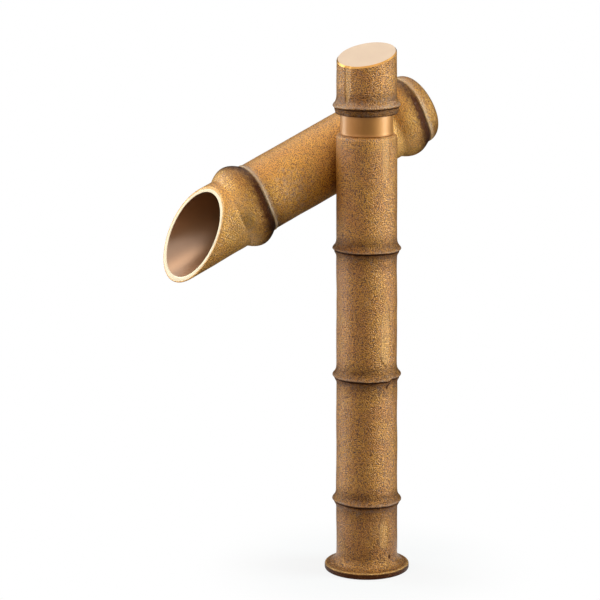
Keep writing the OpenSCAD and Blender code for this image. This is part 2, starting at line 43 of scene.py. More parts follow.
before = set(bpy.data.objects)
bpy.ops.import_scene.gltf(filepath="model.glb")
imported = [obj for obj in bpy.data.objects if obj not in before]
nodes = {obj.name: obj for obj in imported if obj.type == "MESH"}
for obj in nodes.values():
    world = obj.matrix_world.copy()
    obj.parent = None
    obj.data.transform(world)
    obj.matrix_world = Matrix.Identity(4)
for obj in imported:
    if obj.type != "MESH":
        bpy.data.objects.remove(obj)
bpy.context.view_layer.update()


def box_mm(name):
    """Lowest and highest corners of a CAD node at rest, in mm, rounded past single-precision noise."""
    return np.round(np.array(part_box(name)) / MM, 4).tolist()


# Sizes that the frame shows, in mm
FOOT_R, _, PILLAR_TOP = box_mm("pillar")[1]
(_, _, TAIL_END), (THREAD_R, _, TAIL_TOP) = box_mm("threaded_tail")
HANDLE_Z = box_mm("handle")[0][2]
RING_TOP = box_mm("neck_ring")[1][2]

# Sizes that no node's box shows, from the CAD source, in mm and degrees. First the pillar's outside
PILLAR_R, SHOULDER_R = 18.0, 2.4
PILLAR_NODES = (43.8, 120.9, 198.0)
PILLAR_NODE_R = (18.4, 18.16, 18.0)
RIM_T, RIM_EDGE, FLARE_R = 4.0, 1.2, 6.6
GASKET_GROOVE = (15.0, 20.0, 2.0)
# Inside the pillar, from the top: headpart's socket and chamber, seat, waterway, tail's passage and socket
SOCKET_R, HEAD_SOCKET_Z, CHAMBER_R = 10.56, PILLAR_TOP - 12, 10.0
SEAT_Z, SEAT_R, SEAT_T = PILLAR_TOP - 37.4, 4.8, 4.0
WATERWAY_R, TAIL_BORE_R = 14.0, 7.0
PASSAGE_TOP, SOCKET_TOP = 18.0, 16.0
PORT_R, PORT_Z = 5.0, PILLAR_TOP - 19.4
# Spout: tube, where its axis passes the pillar, mouth, closed rear end, nodes
SPOUT_R, BORE_R, SADDLE = 21.3, 19.0, 6.2
SPOUT_X, SPOUT_Z, SPOUT_TILT = SADDLE - PILLAR_R - SPOUT_R, PILLAR_TOP - 14.9, 23.5
MOUTH_S, MOUTH_CUT, MOUTH_TURN = 106.4, 45.4, 21.3
MOUTH_FLARE, MOUTH_FLARE_LEN = 0.5, 25.0
REAR_S, REAR_CORNER, REAR_WALL = 60.24, 8.2, 3.0  # the CAD's 60.3 less what its facets cut off the round
REAR_GROOVE, FRONT_GROOVE = -50.9, 61.8
SPOUT_NODE_LEN, REAR_RISE, FRONT_RISE, BEAD_H = 18.2, 3.5, 4.2, 0.45
FRONT_NODE_END = FRONT_GROOVE + SPOUT_NODE_LEN
# Handle: stem and slanted top, then the insert's bore, its boss, the hollow and the skirt's bore
HANDLE_R, HANDLE_H, HANDLE_CREST = 17.7, 34.4, HANDLE_Z + 4.8
TOP_SLOPE, TOP_HIGH = 16.7, 121.0
INSERT_R, INSERT_TOP = 7.05, HANDLE_Z + 19.8
BOSS_R, BOSS_Z = 9.2, HANDLE_Z + 5.5
HOLLOW_R, HOLLOW_TOP = 14.3, HANDLE_Z + 23.8
SKIRT_R, SKIRT_TOP = 16.0, HANDLE_Z + 5
SCREW_Z, SCREW_HOLE_R, SCREW_BOSS_R = PILLAR_TOP + 24.6, 2.58, 5.1
# Neck ring and thread of the tail
RING_R, RING_WALL, RING_LIP_R, RING_LIP_T = 15.5, 1.3, 12.34, 1.5
THREAD_PITCH, THREAD_DEPTH = 1.814, 1.162
TAIL_GROOVE = (-35.5, -33.5)

COLS = 256  # columns of points round pillar, spout and handle


def smoothstep(low, high, x):
    """0 below low, 1 above high, and 3t^2 - 2t^3 in between."""
    t = np.clip((x - low) / (high - low), 0, 1)
    return t * t * (3 - 2 * t)


def bump(x, width):
    """Bell exp(-(x/width)^2)."""
    return np.exp(-((x / width) ** 2))


def soft_curve(points, blur=0.14):
    """Function of distance: straight lines through the points, blurred by a bell of that width."""
    step = 0.04
    x, y = np.array(points, float).T
    fine = np.arange(x[0] - 2, x[-1] + 2, step)
    reach = np.arange(-3 * blur, 3 * blur + step / 2, step)
    bell = bump(reach, blur)
    padded = np.pad(np.interp(fine, x, y), len(bell) // 2, "edge")
    line = np.convolve(padded, bell / bell.sum(), "valid")[: len(fine)]
    return lambda d: np.interp(d, fine, line)


def arc(x, y, r, start, end, n=8):
    """Points [x + r cos a, y + r sin a] for angles a from start to end, in degrees."""
    a = np.radians(np.linspace(start, end, n + 1))
    return np.stack([x + r * np.cos(a), y + r * np.sin(a)], 1)


def stations(*spans):
    """Rising distances: each span is (from, to, step), and one ends where the next starts."""
    parts = [np.linspace(a, b, max(1, round((b - a) / step)), endpoint=False) for a, b, step in spans]
    return np.append(np.concatenate(parts), spans[-1][1])


def turns(cols):
    """Directions of a surface's columns, in radians: cols of them, evenly round."""
    return np.arange(cols) / cols * TAU


def turn_from(phi, at):
    """Angle from at to phi, signed and the short way round."""
    return (phi - at + math.pi) % TAU - math.pi


def arc_gap(theta, at, radius):
    """Distance round a stem, in mm, from the direction at (degrees) to theta, signed and the short way."""
    return turn_from(theta, math.radians(at)) * radius


def unevenness(theta, along, seed, size):
    """Hand-dressed waviness: 30 waves cos(m theta + k along + phase), weaker as they get finer, with an rms
    of size."""
    rng = np.random.default_rng(seed)
    waves = zip(rng.integers(0, 10, 30), rng.uniform(-0.5, 0.5, 30), rng.uniform(0, TAU, 30))
    total, power = 0, 0
    for m, k, phase in waves:
        height = 1 / (1 + (m / 3) ** 2 + (k / 0.12) ** 2)
        total = total + height * np.cos(m * theta + k * along + phase)
        power += height * height / 2
    return size * total / math.sqrt(power)


def stroke_distance(x, y, points):
    """Distance from each (x, y) to the nearest of the straight strokes that join the points."""
    best = np.full(np.broadcast(x, y).shape, 1e3)
    for (x0, y0), (x1, y1) in zip(points[:-1], points[1:]):
        dx, dy = x1 - x0, y1 - y0
        t = np.clip(((x - x0) * dx + (y - y0) * dy) / (dx * dx + dy * dy), 0, 1)
        best = np.minimum(best, np.hypot(x - x0 - t * dx, y - y0 - t * dy))
    return best


def ring_row(radius, along):
    """One row of a stem: COLS pairs of radius and distance along, each one number or one per column."""
    return np.stack(np.broadcast_arrays(radius, along, np.zeros(COLS))[:2], -1)


def turned_points(radius, height, theta):
    """Points (r cos theta, r sin theta, z) of a surface turned about +Z."""
    radius, height, theta = np.broadcast_arrays(radius, height, theta)
    return np.stack([radius * np.cos(theta), radius * np.sin(theta), height], -1)


def rod_points(start, direction, radius, length, sides=48):
    """Closed round rod from start along direction: a pole, two rings and a pole."""
    axis = Vector(direction).normalized()
    turn = np.array(axis.to_track_quat("Z", "Y").to_matrix())
    r = np.array([0, radius, radius, 0])[:, None]
    z = np.array([0, 0, length, length])[:, None]
    return turned_points(r, z, turns(sides)[None]) @ turn.T + np.array(start)


def lay_surface(name, points, ring=False):
    """Mesh over points (rows, columns, xyz in mm): the last column joins the first, and with ring the last
    row joins the first. Rows that shrink to one point close a pole. Columns run anticlockwise about the
    rows' direction."""
    rows, cols = points.shape[:2]
    index = np.arange(rows * cols).reshape(rows, cols)
    if ring:
        index = np.vstack([index, index[:1]])
    near, far = index[:-1], index[1:]
    faces = np.stack([near, np.roll(near, -1, 1), np.roll(far, -1, 1), far], -1).reshape(-1, 4)
    mesh = bpy.data.meshes.new(name)
    mesh.from_pydata(points.reshape(-1, 3) * MM, [], faces)
    work = bmesh.new()
    work.from_mesh(mesh)
    bmesh.ops.remove_doubles(work, verts=work.verts, dist=2e-6)
    work.to_mesh(mesh)
    work.free()
    return mesh


def place(name, mesh, body, replaced, creased=38):
    """Object at the origin over a mesh, smooth but for edges sharper than creased degrees. It rides a CAD
    body, has its material slot and takes the place of the replaced nodes."""
    piece = bpy.data.objects.new(name, mesh)
    bpy.context.scene.collection.objects.link(piece)
    mesh.shade_smooth()
    mesh.set_sharp_from_angle(angle=math.radians(creased))
    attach(piece, body)
    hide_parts(*replaced)
    return piece


def cut(mesh, tool_points, operation="DIFFERENCE"):
    """Mesh with a closed turned tool taken away or joined on, by an exact Boolean."""
    work = bpy.data.objects.new("work", mesh)
    tool = bpy.data.objects.new("tool", lay_surface("tool", tool_points))
    for o in (work, tool):
        bpy.context.scene.collection.objects.link(o)
    step = work.modifiers.new("cut", "BOOLEAN")
    step.object, step.operation, step.solver = tool, operation, "EXACT"
    made = bpy.data.meshes.new_from_object(work.evaluated_get(bpy.context.evaluated_depsgraph_get()))
    made.name = mesh.name
    for o in (work, tool):
        used = o.data
        bpy.data.objects.remove(o)
        bpy.data.meshes.remove(used)
    return made


def corners(mesh):
    """Vertex places of a mesh in mm, as an array."""
    co = np.empty(len(mesh.vertices) * 3)
    mesh.vertices.foreach_get("co", co)
    return co.reshape(-1, 3) / MM


def middles(mesh):
    """Face middles of a mesh in mm, as an array."""
    co = np.empty(len(mesh.polygons) * 3)
    mesh.polygons.foreach_get("center", co)
    return co.reshape(-1, 3) / MM


def about_pillar(places):
    """Direction, radius and height of places about +Z."""
    x, y, z = places.T
    return np.arctan2(y, x), np.hypot(x, y), z


def paint(mesh, name, value):
    """Stores one number per vertex, which a material reads as an attribute."""
    layer = mesh.attributes.new(name, "FLOAT", "POINT")
    layer.data.foreach_set("value", np.clip(value, 0, 1).astype(np.float32))


def finish_faces(mesh, materials, choice):
    """Gives the mesh its materials, and each face the one whose number choice holds."""
    mesh.materials.clear()
    for m in materials:
        mesh.materials.append(m)
    mesh.polygons.foreach_set("material_index", np.asarray(choice, np.int32))


# Materials

MIX_A, MIX_B, MIXED = 6, 7, 2  # where a Mix node of colours has its two inputs and its output
GRAIN_MM = 0.58  # grain of the moulding sand, drawn at about twice its real size so that it shows
BLOTCH_MM, FLECK_MM = 11, 2.4  # patches of a casting's tone, and the flecks in them
DRIFT_MM = 9  # patches of a bare metal's tone
SOOT_AND_PAINTED_SHADE, BLOOM_AND_PAINTED_LIGHT, BARED_AND_PAINTED_LIGHT = "#3E2010", "#AC9786", "#F0BA6C"  # over the casting: soot brown with painted shade, grey bloom with painted highlights and light, and bared metal with painted highlights and light


def linear(code):
    """sRGB hex code to linear red, green, blue and alpha."""
    srgb = [int(code[i : i + 2], 16) / 255 for i in (1, 3, 5)]
    return [c / 12.92 if c <= 0.04045 else ((c + 0.055) / 1.055) ** 2.4 for c in srgb] + [1]


def wire(tree, made, inputs):
    """Gives a node's sockets, by name or number, their number, hex colour or the socket they come from."""
    for key, value in inputs.items():
        if isinstance(value, bpy.types.NodeSocket):
            tree.links.new(value, made.inputs[key])
        else:
            made.inputs[key].default_value = linear(value) if isinstance(value, str) else value


def node(tree, kind, inputs=(), **settings):
    """Adds one node. settings are its own properties, and inputs what wire gives its sockets."""
    made = tree.nodes.new("ShaderNode" + kind)
    for key, value in settings.items():
        setattr(made, key, value)
    wire(tree, made, dict(inputs))
    return made


def material(name):
    """Empty node material with its shader: returns material, tree, shader and the Object coordinates."""
    made = bpy.data.materials.new(name)
    made.use_nodes = True
    tree = made.node_tree
    return made, tree, tree.nodes["Principled BSDF"], node(tree, "TexCoord").outputs["Object"]


def per_mm(size):
    """Noise scale, per metre, at which one patch of a pattern is size mm across."""
    return 1000 / size


def sand_cast_bronze(name, warm, deep, grain_depth):
    """Bronze from a sand mould under an antique finish: pebbled grain, brown in its pits and tan on its
    tops. Painted numbers per vertex: soot, brown left in the hollows, which also holds painted shade in
    creases, under edges and where parts meet; haze, the grey bloom beside them, which also holds painted
    highlights on crests and beads and painted light on the spout's underside; rub, metal bared by a cloth,
    which also holds painted highlights on edges and beads and painted light on the spout's underside."""
    made, tree, shader, place_at = material(name)
    soot_and_painted_shade, haze, rub_and_painted_light = (
        node(tree, "Attribute", attribute_name=key).outputs["Fac"] for key in ("soot_and_painted_shade", "haze", "rub_and_painted_light")
    )
    sand, blotch, fleck = (
        node(
            tree, "TexNoise",
            {"Vector": place_at, "Scale": per_mm(size), "Detail": detail, "Roughness": roughness},
        ).outputs["Fac"]
        for size, detail, roughness in ((GRAIN_MM, 1.0, 0.5), (BLOTCH_MM, 3.0, 0.6), (FLECK_MM, 2.0, 0.5))
    )
    # soot with its painted shade, and haze with its painted highlights, have ragged edges that follow the
    # flecks
    ragged = node(tree, "Math", {0: fleck, 1: 0.5}, operation="SUBTRACT").outputs[0]
    soot_shade_ragged = node(tree, "Math", {0: ragged, 1: 0.5, 2: soot_and_painted_shade}, operation="MULTIPLY_ADD").outputs[0]
    bloom_light_ragged = node(tree, "Math", {0: ragged, 1: 0.7, 2: haze}, operation="MULTIPLY_ADD").outputs[0]
    ranges = (blotch, 0.35, 0.65), (sand, 0.40, 0.53), (soot_shade_ragged, 0.06, 0.98), (bloom_light_ragged, 0.08, 1.05)
    tone, pit, soot_shade_share, bloom_light_share = (
        node(tree, "MapRange", {"Value": value, "From Min": low, "From Max": high}).outputs["Result"]
        for value, low, high in ranges
    )
    # two tones of skin, brown in its pits, and over them soot with painted shade, bloom with painted
    # highlights and light, and bared metal with painted highlights and light
    warmth = node(tree, "Mix", {0: tone, MIX_A: warm[0], MIX_B: warm[1]}, data_type="RGBA").outputs[MIXED]
    colour = node(tree, "Mix", {0: pit, MIX_A: deep, MIX_B: warmth}, data_type="RGBA").outputs[MIXED]
    for share, over in ((soot_shade_share, SOOT_AND_PAINTED_SHADE), (bloom_light_share, BLOOM_AND_PAINTED_LIGHT), (rub_and_painted_light, BARED_AND_PAINTED_LIGHT)):
        colour = node(tree, "Mix", {0: share, MIX_A: colour, MIX_B: over}, data_type="RGBA").outputs[MIXED]
    rough = node(
        tree, "MapRange", {"Value": sand, "From Min": 0.3, "From Max": 0.7, "To Min": 0.56, "To Max": 0.40}
    )
    # the bloom hides the metal, and soot with painted shade lets more of it through; the wax veil is thin
    # where the soot and painted shade lie
    veiled = node(tree, "MapRange", {"Value": bloom_light_share, "To Min": 0.62, "To Max": 0.15})
    metal = node(tree, "Math", {0: soot_shade_share, 1: 0.4, 2: veiled.outputs["Result"]}, operation="MULTIPLY_ADD")
    wax = node(tree, "MapRange", {"Value": soot_shade_share, "To Min": 0.85, "To Max": 0.0})
    coarse = node(tree, "Bump", {"Height": fleck, "Strength": 0.5, "Distance": grain_depth * 0.7 * MM})
    fine = node(
        tree, "Bump",
        {"Height": sand, "Strength": 1.0, "Distance": grain_depth * MM, "Normal": coarse.outputs["Normal"]},
    )
    wire(tree, shader, {
        "Base Color": colour, "Roughness": rough.outputs["Result"], "Metallic": metal.outputs[0],
        "Coat Weight": wax.outputs["Result"], "Coat Roughness": 0.25,
        "Normal": fine.outputs["Normal"], "Coat Normal": fine.outputs["Normal"],
    })
    return made


def bare_metal(
    name, colours, roughness, scratch_mm=None, across=False, depth=0.01, tarnish=0.0, film=0.0, film_ior=1.5
):
    """Machined, polished or rolled metal: even colour with a slow drift, and tool lines where scratch_mm is
    given, which run round +Z, or with across straight along Y. tarnish is how far it has dulled, and film
    how much lacquer or oxide lies on it, which mirrors more with a higher film_ior."""
    made, tree, shader, place_at = material(name)
    patches = node(tree, "TexNoise", {"Vector": place_at, "Scale": per_mm(DRIFT_MM), "Detail": 2.0})
    drift = patches.outputs["Fac"]
    colour = node(tree, "Mix", {0: drift, MIX_A: colours[0], MIX_B: colours[1]}, data_type="RGBA")
    low, high = roughness
    haze = node(
        tree, "MapRange", {"Value": drift, "From Min": 0.3, "From Max": 0.7, "To Min": low, "To Max": high}
    )
    wire(tree, shader, {
        "Base Color": colour.outputs[MIXED], "Roughness": haze.outputs["Result"], "Metallic": 1 - tarnish,
        "Coat Weight": film, "Coat Roughness": 0.35, "Coat IOR": film_ior,
    })
    if scratch_mm:
        stretch = (1, 0.06, 1) if across else (0.03, 0.03, 1)
        along = node(tree, "Mapping", {"Vector": place_at, "Scale": stretch}).outputs["Vector"]
        stripes = node(tree, "TexNoise", {"Vector": along, "Scale": per_mm(scratch_mm), "Detail": 3.0})
        lines = stripes.outputs["Fac"]
        marks = node(tree, "Bump", {"Height": lines, "Strength": 0.5, "Distance": depth * MM})
        wire(tree, shader, {"Normal": marks.outputs["Normal"]})
    return made


def dull_solid(name, colours, roughness, grain_mm, depth):
    """Rubber, fibre, ceramic, plastic or felt: two close colours in a grain of the material's own size,
    with that grain in relief."""
    made, tree, shader, place_at = material(name)
    grain = node(
        tree, "TexNoise", {"Vector": place_at, "Scale": per_mm(grain_mm), "Detail": 3.0, "Roughness": 0.6}
    ).outputs["Fac"]
    colour = node(tree, "Mix", {0: grain, MIX_A: colours[0], MIX_B: colours[1]}, data_type="RGBA")
    relief = node(tree, "Bump", {"Height": grain, "Strength": 0.4, "Distance": depth * MM})
    wire(tree, shader, {
        "Base Color": colour.outputs[MIXED], "Roughness": roughness, "Normal": relief.outputs["Normal"],
    })
    return made


# Tin bronze from a green-sand mould, browned and waxed: a leathery skin, ochre to olive brown
pillar_bronze = sand_cast_bronze("sand_cast_bronze", ("#C67E26", "#D28E28"), "#58320C", grain_depth=0.58)
# The same bronze where it was blasted finer: the spout's skin is smoother and more golden
spout_bronze = sand_cast_bronze("blasted_bronze", ("#DE982E", "#EAA836"), "#8C5616", grain_depth=0.4)
# Face milled after browning, so that the bare alloy shows: pale pink gold, with tool lines across
milled_bronze = bare_metal(
    "milled_bronze_face", ("#E4C6A8", "#EAD2B6"), (0.30, 0.38), scratch_mm=0.5, across=True, depth=0.006
)
# Edge broken with a file and rubbed bright: a thin golden line
bright_edge = bare_metal("filed_bronze_edge", ("#C68C46", "#D09A56"), (0.28, 0.36))
# Cut rim of the spout, bare and buffed: almost white where it faces the light
bright_rim = bare_metal("buffed_bronze_rim", ("#C6B092", "#D2C0A4"), (0.34, 0.42))
# Bore left as the reamer cut it and lightly tarnished: satin copper, its oxide film mirroring strongly
satin_bore = bare_metal(
    "reamed_copper_bore", ("#A26C34", "#AE7A44"), (0.34, 0.42),
    scratch_mm=0.9, tarnish=0.35, film=1.0, film_ior=2.2,
)
# Turned sleeve, buffed and lacquered: a soft golden mirror
buffed_brass = bare_metal(
    "buffed_brass", ("#AE722E", "#BA7E38"), (0.5, 0.54),
    scratch_mm=0.4, depth=0.004, tarnish=0.15, film=0.85,
)
# Bar brass from the lathe, not polished: fine rings round the axis
lathe_brass = bare_metal("turned_brass", ("#C9A45A", "#D2AF68"), (0.26, 0.36), scratch_mm=0.35)
# Stainless steel, pressed or turned, and bright
stainless = bare_metal("stainless_steel", ("#B4B2AD", "#C2C0BA"), (0.22, 0.32), scratch_mm=0.4, depth=0.006)
# Red-brown vulcanised fibre sheet, stamped out: dull, with a fibrous grain
red_fibre = dull_solid("vulcanised_fibre", ("#6A3022", "#86402E"), roughness=0.75, grain_mm=0.6, depth=0.03)
# Black nitrile rubber, moulded: matt, with a faint bloom
black_rubber = dull_solid(
    "nitrile_rubber", ("#17171A", "#26262A"), roughness=0.62, grain_mm=1.4, depth=0.02
)
# Alumina ceramic, lapped flat: white and glassy
white_ceramic = dull_solid(
    "lapped_alumina", ("#EFEDE6", "#F7F5EF"), roughness=0.12, grain_mm=0.5, depth=0.002
)
# Acetal, turned: white, waxy
white_acetal = dull_solid("white_acetal", ("#E9E9E4", "#F2F2EE"), roughness=0.38, grain_mm=0.8, depth=0.004)

# Pillar

BRANCH_SIDE = 12.0  # degrees from +X at which the middle node's branch stood
BRANCHES = (BRANCH_SIDE + 180, BRANCH_SIDE, BRANCH_SIDE + 180)  # the outer two stood on the other side
FOOT_SCAR = 7.0  # direction of the foot's own channel
# Bud and pit low on the flare, under that channel: direction, height, and the flare's radius there
FOOT_BUD_AT, FOOT_BUD_Z, FOOT_BUD_R = FOOT_SCAR + 5, 9.6, 20.0
# Channels: direction in degrees, height of both ends, half width
CHANNELS = (
    (BRANCHES[1], PILLAR_NODES[1] + 7.7, PILLAR_NODES[1] + 48, 3.1),
    (FOOT_SCAR, 15.5, 39.5, 2.7),
    (BRANCHES[0], PILLAR_NODES[0] + 7.7, PILLAR_NODES[0] + 49, 3.1),
    (BRANCH_SIDE, 236, 330, 2.4),
    (BRANCHES[2], PILLAR_NODES[2] + 7.5, PILLAR_NODES[2] + 47, 3.1),
)
# Marks of a branch, sideways and up from its node's crest: thin brow over the bud, pit torn below the crest
BROW = [(-3.6, 14), (-3.1, 11.5), (-1.2, 9.4), (-0.4, 8.6)]
TEAR = [(1.6, -2.6), (0.4, -4.0), (0.2, -5.0)]
# Rows of points beside a node's crest, as where each stretch starts and ends and their spacing there
NODE_ROWS = ((-7, -2.6, 0.4), (-2.6, 1.2, 0.19), (1.2, 7, 0.45))
STEM_STEP = 1.6  # spacing of the rows on the plain stem
# How far a stem node stands out by the distance above its crest: shelf, crease, lip, crest, upper flank
stem_section = soft_curve([
    (-5.4, 0), (-4.2, 0.1), (-3.2, 0.42), (-2.4, 0.95), (-1.8, 1.25), (-1.3, 1.2), (-0.9, 0.85),
    (-0.65, 1.1), (-0.4, 1.9), (-0.1, 2.38), (0.25, 2.4), (0.8, 2.12), (1.5, 1.5), (2.4, 0.85), (3.4, 0.4),
    (4.6, 0.12), (6, 0),
])


def node_wave(theta, seed, scar_at=None):
    """Height of a node's crest against its middle one: slow waves, and a dip and a hump beside a scar."""
    rng = np.random.default_rng(seed)
    a, b, c = rng.uniform(0, TAU, 3)
    wave = 0.22 * np.cos(theta + a) + 0.16 * np.cos(2 * theta + b) + 0.08 * np.cos(5 * theta + c)
    if scar_at is not None:
        x = arc_gap(theta, scar_at, PILLAR_R)
        wave = wave - 0.45 * bump(x + 0.8, 1.7) + 0.5 * bump(x - 3.0, 2.2)
    return wave


def pillar_wave(theta, i):
    """Wave of the crest of the pillar's node number i, from the lowest up."""
    return node_wave(theta, 20 + i, BRANCHES[i])


def channel(theta, along, at, start, end, half, radius):
    """The flat channel that a bamboo stem has above a branch: pointed at both ends, steep at its sides.
    Returns how far a point lies in it, 0 to 1, and how near its border, which is painted dark with patina
    and painted shade."""
    x = arc_gap(theta, at, radius)
    t = (along - start) / (end - start)
    width = half * smoothstep(0, 0.14, t) * (1 - 0.65 * smoothstep(0.55, 1, t)) + 0.01
    ends = smoothstep(0, 0.08, t) * (1 - smoothstep(0.6, 1, t))
    within = 1 - smoothstep(width - 0.35, width + 0.75, np.abs(x))
    return ends * within, ends * bump(x + width + 0.3, 0.5)


def branch_marks(theta, z, crest, at):
    """Relief of one branch scar: a low bud above the crest, a thin brow over it and a pit torn below the
    crest. Returns height, and the darkness painted in brow and pit: patina with painted shade."""
    x, y = arc_gap(theta, at, PILLAR_R), z - crest
    bud = 0.5 * bump(np.hypot(x / 1.25, y - 3.4), 1.9)
    brow, tear = stroke_distance(x, y, BROW), stroke_distance(x, y, TEAR)
    return bud - 0.35 * bump(brow, 0.55) - 0.4 * bump(tear, 0.6), bump(brow, 0.6) + 0.8 * bump(tear, 0.8)


def pillar_relief(theta, z):
    """Height of what isn't a plain turned stem on the pillar, and how dark its hollows are painted: patina
    with painted shade.
    """
    calm = smoothstep(10, 14, z) * (1 - smoothstep(PILLAR_TOP - 8, PILLAR_TOP - 4, z))
    height = unevenness(theta, z, 3, 0.07) * calm
    dark = 0
    for at, start, end, half in CHANNELS:
        inside, border = channel(theta, z, at, start, end, half, PILLAR_R)
        height, dark = height - 0.45 * inside, dark + 0.5 * border
    for crest, at in zip(PILLAR_NODES, BRANCHES):
        marks, hollows = branch_marks(theta, z, crest, at)
        height, dark = height + marks, dark + hollows
    x, y = arc_gap(theta, FOOT_BUD_AT, FOOT_BUD_R), z - FOOT_BUD_Z
    pit = np.hypot(x - 2.6, y - 1)
    height = height + 0.55 * bump(np.hypot(x / 1.6, y), 2.0) - 0.5 * bump(pit, 0.8)
    return height, dark + bump(pit, 1.0)


def pillar_surface():
    """Closed surface turned about +Z: outside from the foot's edge up to the top face, then down the
    waterway and out under the foot. The outside's radius is the stem's plus its nodes and relief; rows near
    a crest follow its wave."""
    theta = turns(COLS)[None]
    foot = np.vstack([
        arc(FOOT_R - RIM_EDGE, RIM_EDGE, RIM_EDGE, -90, 0),
        arc(FOOT_R - RIM_EDGE, RIM_T - RIM_EDGE, RIM_EDGE, 0, 80),
        arc(PILLAR_NODE_R[0] + FLARE_R, RIM_T + FLARE_R, FLARE_R, 262, 184, 18),
    ])
    spans, z = [], RIM_T + FLARE_R + 0.5
    for crest in PILLAR_NODES:
        spans.append((z, crest + NODE_ROWS[0][0], STEM_STEP))
        spans += [(crest + low, crest + high, step) for low, high, step in NODE_ROWS]
        z = crest + NODE_ROWS[-1][1]
    spans.append((z, PILLAR_TOP - SHOULDER_R, STEM_STEP))
    rise = stations(*spans)
    shoulder = arc(PILLAR_R - SHOULDER_R, PILLAR_TOP - SHOULDER_R, SHOULDER_R, 0, 90, 9)[1:]
    stem_r = np.interp(rise, PILLAR_NODES, PILLAR_NODE_R)
    outline = np.vstack([foot, np.stack([stem_r, rise], 1), shoulder])
    radius, height = outline[:, :1] + 0 * theta, outline[:, 1:] + 0 * theta
    for i, crest in enumerate(PILLAR_NODES):
        wave = pillar_wave(theta, i)
        height = height + wave * bump(outline[:, 1:] - crest, 8)
        radius = radius + stem_section(height - crest - wave)
    radius = radius + pillar_relief(theta, height)[0]
    seat_under = SEAT_Z - SEAT_T
    g_in, g_out, g_deep = GASKET_GROOVE
    # the waterway narrows to the seat and to the tail's passage by cones of 45 degrees
    inner = np.array([
        (SOCKET_R, PILLAR_TOP), (SOCKET_R, HEAD_SOCKET_Z), (CHAMBER_R, HEAD_SOCKET_Z), (CHAMBER_R, SEAT_Z),
        (SEAT_R, SEAT_Z), (SEAT_R, seat_under), (WATERWAY_R, seat_under - WATERWAY_R + SEAT_R),
        (WATERWAY_R, PASSAGE_TOP + WATERWAY_R - TAIL_BORE_R), (TAIL_BORE_R, PASSAGE_TOP),
        (TAIL_BORE_R, SOCKET_TOP), (SOCKET_R, SOCKET_TOP), (SOCKET_R, 0),
        (g_in, 0), (g_in, g_deep), (g_out, g_deep), (g_out, 0),
    ])
    outer_rows = turned_points(radius, height, theta)
    inner_rows = turned_points(inner[:, :1], inner[:, 1:], theta)
    return lay_surface("pillar_casting", np.concatenate([outer_rows, inner_rows]), ring=True)


def crest_gap(theta, z):
    """Distance above the nearest pillar node's crest line, in mm."""
    gaps = [z - crest - pillar_wave(theta, i) for i, crest in enumerate(PILLAR_NODES)]
    return np.choose(np.argmin(np.abs(gaps), 0), gaps)


# Soot with painted shade, darkest in the crease under the lip, and haze with a painted highlight on the
# crest, beside a stem node by the distance above its crest
soot_shade_by_gap = soft_curve([
    (-16, 0), (-12, 0.12), (-8, 0.32), (-5, 0.45), (-2.8, 0.55), (-1.7, 0.66), (-1.25, 1), (-0.3, 1),
    (-0.05, 0.65), (0.3, 0.5), (0.8, 0.52), (1.6, 0.6), (4.5, 0.64), (6.5, 0.45), (9, 0.2), (13, 0),
], 0.2)
bloom_highlight_by_gap = soft_curve([
    (-8, 0), (-3, 0.15), (-1.8, 0), (-0.3, 0), (0.3, 0.3), (1.2, 0.1), (3, 0.05), (7, 0),
], 0.3)


def paint_pillar(mesh):
    """Soot with painted shade beside the nodes, darkest in the crease under each crest, and in the hollows
    of the relief; painted shade on the rim's side by the floor; darker up the flare towards the foot; haze
    beside the nodes with a painted highlight along each crest; rub in the channels and a painted highlight
    along the rim's upper edge."""
    theta, r, z = about_pillar(corners(mesh))
    outside = r > WATERWAY_R + 0.5
    gap = crest_gap(theta, z)
    rim, flare = 1 - smoothstep(2.6, 3.9, z), 1 - smoothstep(10, 48, z)
    # painted shade: darkest in each crease and on the rim's side by the floor, and darker up the flare
    soot_and_painted_shade = soot_shade_by_gap(gap) + 0.9 * pillar_relief(theta, z)[1] + rim + 0.45 * flare
    strips = sum(channel(theta, z, *strip, PILLAR_R)[0] for strip in CHANNELS)
    # painted highlight along the rim's upper edge
    rim_edge_highlight = bump(z - RIM_T + 0.25, 0.45) * smoothstep(23.5, 24.6, r)
    paint(mesh, "soot_and_painted_shade", outside * soot_and_painted_shade)
    paint(mesh, "haze", outside * bloom_highlight_by_gap(gap))
    paint(mesh, "rub_and_painted_light", outside * (0.2 * strips + 0.3 * rim_edge_highlight))


port = rod_points((-8, 0, PORT_Z), (-1, 0, 0), PORT_R, 14)  # from inside the chamber out through the wall
pillar_mesh = cut(pillar_surface(), port)
paint_pillar(pillar_mesh)
in_waterway = about_pillar(middles(pillar_mesh))[1] < WATERWAY_R + 0.3
finish_faces(pillar_mesh, [pillar_bronze, lathe_brass], in_waterway)
place("pillar_casting", pillar_mesh, "root", ["pillar"])

# Spout

tilt = math.radians(SPOUT_TILT)
# Rows are the spout's own axes in the row frame: across, up, and along towards the mouth
SPOUT_AXES = np.array([
    [1, 0, 0], [0, -math.sin(tilt), math.cos(tilt)], [0, -math.cos(tilt), -math.sin(tilt)],
])
SPOUT_AT = np.array([SPOUT_X, 0, SPOUT_Z])
SADDLE_SINK = 0.15  # how far the saddle reaches into the pillar, so that no gap shows between them
RIM_BREAK, BORE_BREAK = 1.0, 0.35  # how much is broken off the mouth's outer and inner edge


def about_spout(places):
    """Turn (from across towards up), radius and distance s along, of places about the spout's axis."""
    across, up, along = ((places - SPOUT_AT) @ SPOUT_AXES.T).T
    return np.arctan2(up, across), np.hypot(across, up), along


